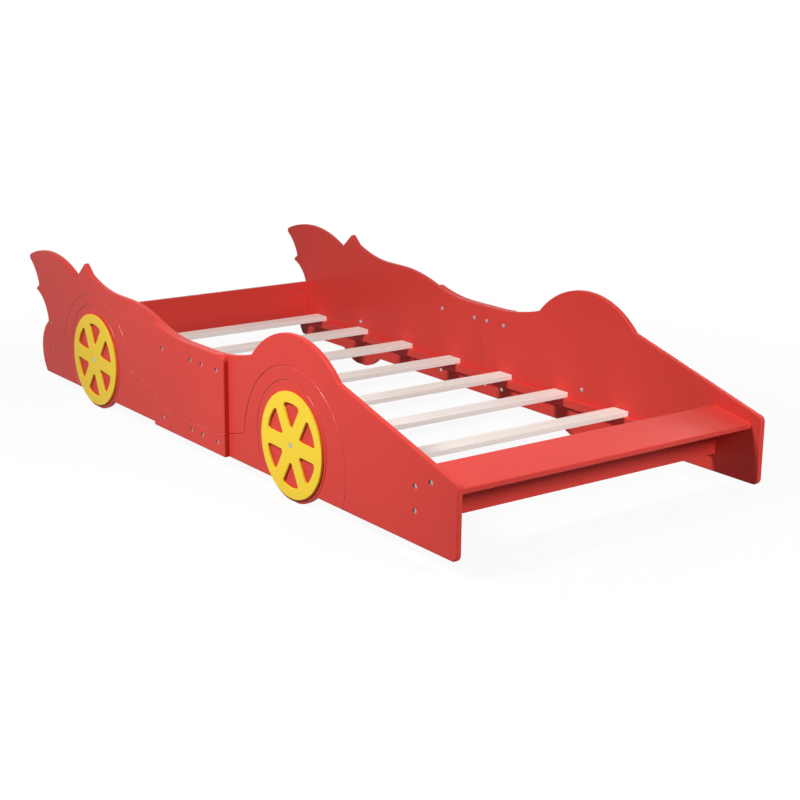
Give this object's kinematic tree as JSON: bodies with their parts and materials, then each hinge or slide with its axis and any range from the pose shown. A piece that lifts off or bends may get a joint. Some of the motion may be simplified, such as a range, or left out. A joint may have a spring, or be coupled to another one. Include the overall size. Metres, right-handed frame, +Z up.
{
  "type": "car bed for children",
  "caption": "Low wooden child's bed with sides shaped as a racing car, four turning flat wheels, slatted mattress bay, headboard, footboard and sloping hood shelf.",
  "frame": {"origin": "on the floor below the middle of the bed's overall length and width", "axes": "+X from the tail to the nose of the car, along the longest side; +Y to the car's left; +Z up, the shortest extent"},
  "size_m": [2.3, 1.06, 0.45],
  "materials": {
    "red_paint": "satin red paint over smooth board",
    "yellow_paint": "satin golden yellow paint over smooth board",
    "slat_wood": "bare planed pale wood",
    "dowel_wood": "bare turned wood",
    "zinc_steel": "bright zinc plate"
  },
  "bodies": {
    "frame": {"rear_side_panel_right": "red_paint", "rear_side_panel_left": "red_paint", "front_side_panel_right": "red_paint", "front_side_panel_left": "red_paint", "door_panel_right": "red_paint", "door_panel_left": "red_paint", "headboard": "red_paint", "footboard": "red_paint", "hood_board": "red_paint", "ledger_rail_rear_right": "red_paint", "ledger_rail_rear_left": "red_paint", "ledger_rail_front_right": "red_paint", "ledger_rail_front_left": "red_paint", "slat_1": "slat_wood", "slat_2": "slat_wood", "slat_3": "slat_wood", "slat_4": "slat_wood", "slat_5": "slat_wood", "slat_6": "slat_wood", "slat_7": "slat_wood", "wheel_bolts": "zinc_steel", "wheel_washers": "zinc_steel", "wheel_nuts": "zinc_steel", "door_bolts": "zinc_steel", "door_nuts": "zinc_steel", "headboard_bolts": "zinc_steel", "headboard_barrel_nuts": "zinc_steel", "footboard_bolts": "zinc_steel", "footboard_barrel_nuts": "zinc_steel", "hood_bolts": "zinc_steel", "hood_barrel_nuts": "zinc_steel", "hood_dowels": "dowel_wood", "slat_dowels": "dowel_wood", "rail_dowels": "dowel_wood"},
    "rear_right_wheel": {"wheel_rear_right": "yellow_paint"},
    "rear_left_wheel": {"wheel_rear_left": "yellow_paint"},
    "front_right_wheel": {"wheel_front_right": "yellow_paint"},
    "front_left_wheel": {"wheel_front_left": "yellow_paint"}
  },
  "joints": [
    {"name": "rear_right_wheel_turn", "type": "hinge", "parent": "frame", "child": "rear_right_wheel", "pos_m": [-0.677, -0.5192, 0.154], "axis": [0, 1, 0], "continuous": true},
    {"name": "rear_left_wheel_turn", "type": "hinge", "parent": "frame", "child": "rear_left_wheel", "pos_m": [-0.677, 0.5192, 0.154], "axis": [0, 1, 0], "continuous": true},
    {"name": "front_right_wheel_turn", "type": "hinge", "parent": "frame", "child": "front_right_wheel", "pos_m": [0.4604, -0.5192, 0.154], "axis": [0, 1, 0], "continuous": true},
    {"name": "front_left_wheel_turn", "type": "hinge", "parent": "frame", "child": "front_left_wheel", "pos_m": [0.4604, 0.5192, 0.154], "axis": [0, 1, 0], "continuous": true}
  ]
}
